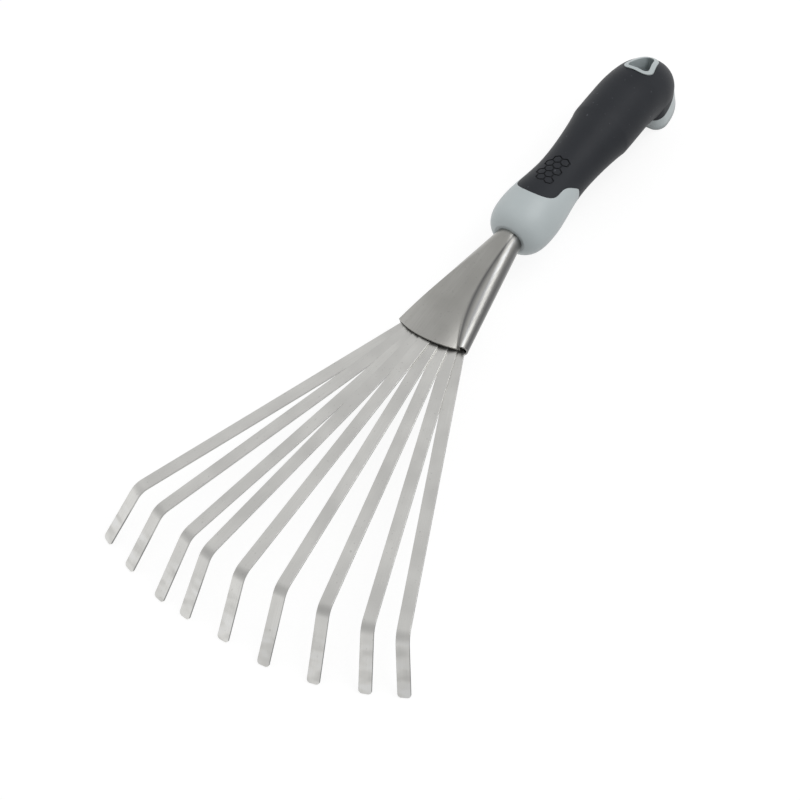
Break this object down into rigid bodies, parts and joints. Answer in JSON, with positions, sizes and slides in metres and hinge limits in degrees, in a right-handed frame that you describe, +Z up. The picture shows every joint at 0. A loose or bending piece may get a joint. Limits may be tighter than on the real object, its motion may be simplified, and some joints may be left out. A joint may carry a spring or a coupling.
{
  "type": "hand fan rake",
  "caption": "Hand rake with a fan of flat spring tines bent down at the toes, a folded steel socket and a soft-grip handle with a heel and a hang hole.",
  "frame": {"origin": "on the flat underside of the heel, between the hang hole and the heel's front face", "axes": "+X along the tool from the butt to the tines, +Y to the left, +Z up; the rake lies on Z = 0"},
  "size_m": [0.3798, 0.1753, 0.0436],
  "materials": {
    "tine_steel": "satin",
    "socket_steel": "satin",
    "weld_steel": "rough",
    "grey_plastic": "satin",
    "soft_black": "matte"
  },
  "bodies": {
    "handle": {"head_socket": "socket_steel", "root_weld": "weld_steel", "handle_core": "grey_plastic", "soft_grip": "soft_black"},
    "tine_pack": {"tine_1": "tine_steel", "tine_2": "tine_steel", "tine_3": "tine_steel", "tine_4": "tine_steel", "tine_5": "tine_steel", "tine_6": "tine_steel", "tine_7": "tine_steel", "tine_8": "tine_steel", "tine_9": "tine_steel"}
  },
  "joints": [
    {"name": "tine_flex", "type": "hinge", "parent": "handle", "child": "tine_pack", "pos_m": [0.18199, 0, 0.03032], "axis": [0, -1, 0], "range_deg": [0, 8], "stiffness_Nm_per_rad": 9.2, "springref_deg": -0.6}
  ]
}
